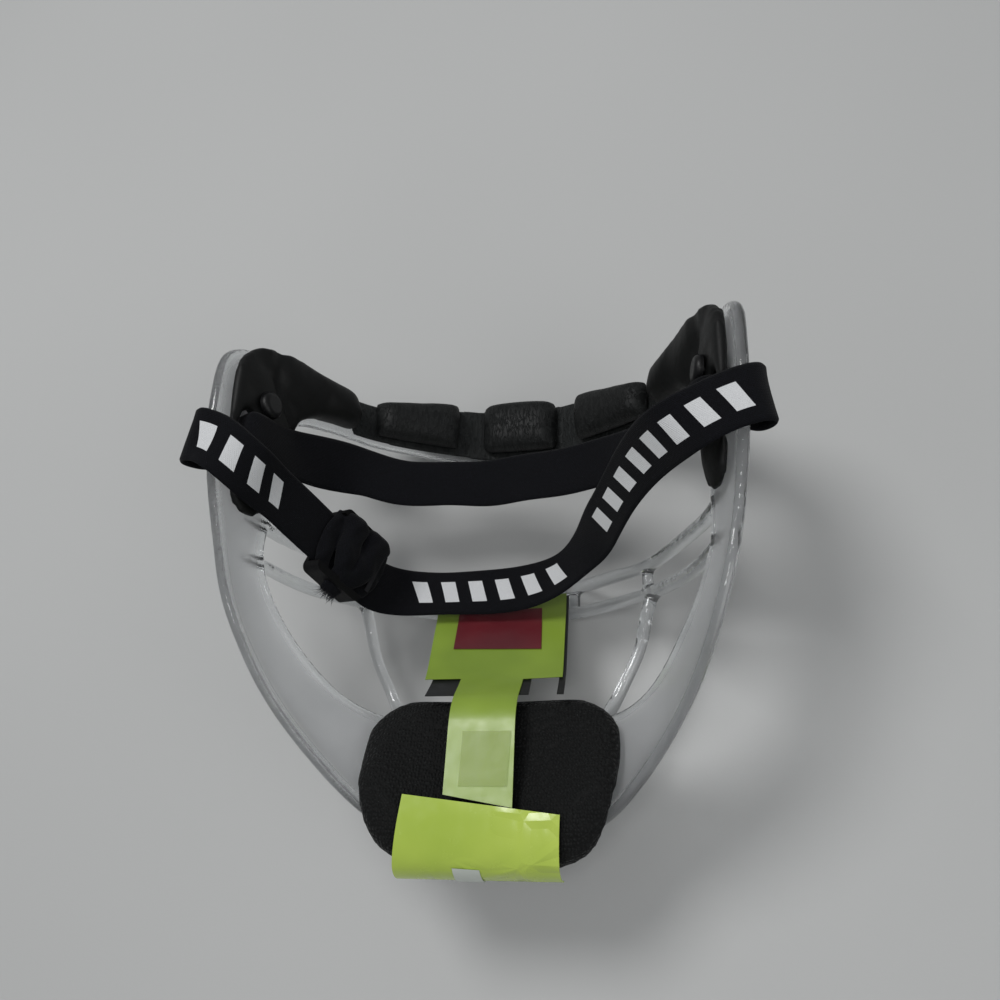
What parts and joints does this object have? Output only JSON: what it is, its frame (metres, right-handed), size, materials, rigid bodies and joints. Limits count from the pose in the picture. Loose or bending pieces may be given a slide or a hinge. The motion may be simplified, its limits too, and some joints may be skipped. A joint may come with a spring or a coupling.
{
  "type": "softball face guard",
  "caption": "Clear moulded face guard with bars, foam brow and chin pads, a webbing strap with a slider, and its retail card, lying face down.",
  "frame": {"origin": "bottom centre of the box round the whole guard as it lies face down", "axes": "+Z from the front of the guard to the wearer's face, +Y towards the brow, +X to the wearer's right"},
  "size_m": [0.2173, 0.2085, 0.1191],
  "materials": {
    "shell": "clear, glossy",
    "pad": "moulded foam with a matt skin",
    "mesh": "coarse black knit",
    "foam": "open foam",
    "hook": "hook tape",
    "stud": "satin",
    "strap": "woven elastic",
    "thread": "thread",
    "slider": "satin",
    "card": "glossy printed card",
    "card_back": "glossy dark card",
    "label": "glossy print",
    "tape": "clear film",
    "sticker": "paper"
  },
  "bodies": {
    "guard": {"brow_hooks": "hook", "brow_pad_centre": "pad", "brow_pad_inner_left": "pad", "brow_pad_inner_right": "pad", "brow_pad_web": "pad", "brow_pad_wing_left": "pad", "brow_pad_wing_right": "pad", "chin_hooks": "hook", "chin_pad_backing": "mesh", "chin_pad_cover": "mesh", "chin_pad_foam": "foam", "face_frame": "shell", "strap_plain": "strap", "strap_printed": "strap", "stud_cap_left": "stud", "stud_cap_right": "stud", "temple_stud_left": "stud", "temple_stud_right": "stud"},
    "slider": {"slider": "slider", "strap_tail": "strap", "strap_stitch": "thread"},
    "card": {"card_back": "card_back", "card_front": "card", "card_label": "label", "card_sticker": "sticker", "card_tape": "tape", "card_wrap": "card"}
  },
  "joints": [
    {"name": "slider_slide", "type": "slide", "parent": "guard", "child": "slider", "axis": [-0.4006, 0.3876, 0.8302], "range_m": [0, 0.018]},
    {"name": "card_lift", "type": "slide", "parent": "guard", "child": "card", "axis": [0, -0.6, 0.8], "range_m": [0, 0.11]}
  ]
}
